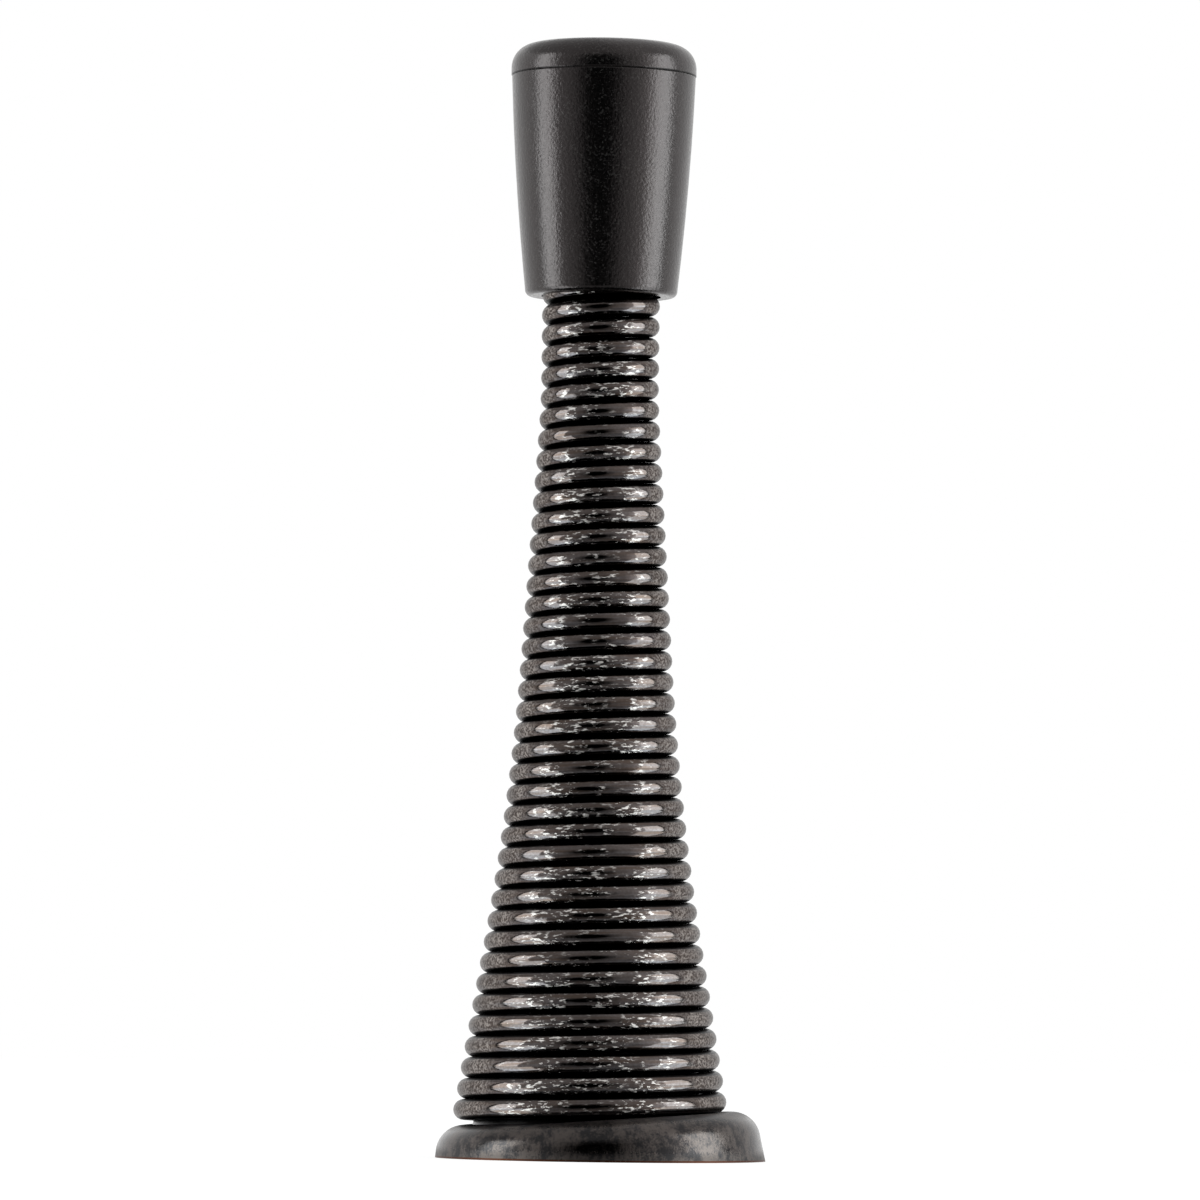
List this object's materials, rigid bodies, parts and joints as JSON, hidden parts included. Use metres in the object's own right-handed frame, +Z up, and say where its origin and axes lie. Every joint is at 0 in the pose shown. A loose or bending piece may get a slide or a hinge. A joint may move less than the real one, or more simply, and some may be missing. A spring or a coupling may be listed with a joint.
{
  "type": "spring door stop",
  "caption": "Flexible door stop: a close-wound trumpet-shaped coil spring on a domed screw-down base, with a black rubber tip that meets the door.",
  "frame": {"origin": "on the screw hole's axis, which is the spring's axis too, at the base's underside", "axes": "+Z up along the spring to the tip; +X towards the side where the base's rim reaches furthest"},
  "size_m": [0.0224, 0.0224, 0.0762],
  "materials": {
    "tip_rubber": "satin black moulded rubber",
    "spring_wire": "dark bronze finish on drawn spring steel, worn and scratched",
    "base_casting": "dark bronze finish on a zinc casting, worn to brown at the lower edge"
  },
  "bodies": {
    "root": {"rubber_tip": "tip_rubber", "coil_spring": "spring_wire", "mounting_base": "base_casting"}
  },
  "joints": []
}
